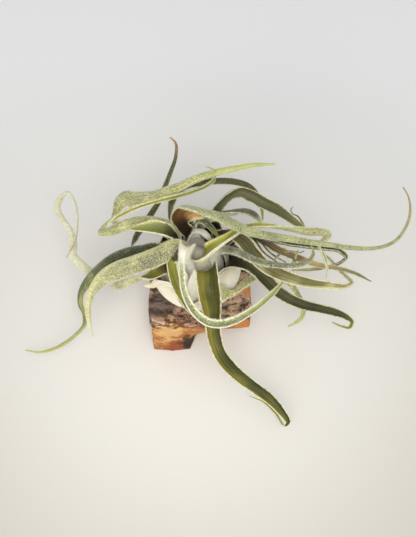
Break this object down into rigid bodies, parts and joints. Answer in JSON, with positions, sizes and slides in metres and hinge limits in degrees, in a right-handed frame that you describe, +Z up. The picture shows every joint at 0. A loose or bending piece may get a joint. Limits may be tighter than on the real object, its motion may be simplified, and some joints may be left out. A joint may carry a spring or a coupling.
{
  "type": "air plant on bark",
  "caption": "Fuzzy grey-green air plant: a bulb of nested leaf sheaths with long, channelled, curling leaves, standing on a rough chunk of bark.",
  "frame": {"origin": "on the flat underside of the bark block, straight below the middle of the bulb", "axes": "+Z up along the bulb's axis, +X along the plant's longest spread, towards its right as the picture shows it, -Y towards the picture's viewer"},
  "size_m": [0.1601, 0.1172, 0.0743],
  "materials": {
    "leaf_silver": "dense silvery scales and hairs, matte",
    "leaf_olive": "smooth olive inner face with pale fuzzy margins",
    "leaf_dark": "dark olive, thinly scaled, matte",
    "leaf_tan": "dry tan leaf, matte",
    "leaf_young": "fresh pale green, matte",
    "heart": "pale cream, fuzzy",
    "bark": "rough broken bark, orange-brown with dark patches"
  },
  "bodies": {
    "root": {"bark_block": "bark", "leaf_back_broad": "leaf_silver", "leaf_back_dark": "leaf_dark", "leaf_back_loop": "leaf_silver", "leaf_back_right": "leaf_olive", "leaf_back_thin": "leaf_dark", "leaf_crown_right": "leaf_silver", "leaf_dry": "leaf_tan", "leaf_front": "leaf_olive", "leaf_front_loop": "leaf_silver", "leaf_front_short": "leaf_silver", "leaf_left_broad": "leaf_silver", "leaf_left_curl": "leaf_silver", "leaf_left_low": "leaf_silver", "leaf_left_strip": "leaf_silver", "leaf_left_trough": "leaf_silver", "leaf_left_under": "leaf_dark", "leaf_right_dark": "leaf_dark", "leaf_right_front": "leaf_silver", "leaf_right_long": "leaf_silver", "leaf_right_low": "leaf_silver", "leaf_right_olive": "leaf_olive", "leaf_right_tan": "leaf_tan", "leaf_right_upper": "leaf_silver", "leaf_young_inner": "leaf_young", "leaf_young_outer": "leaf_young", "stem": "heart"}
  },
  "joints": []
}
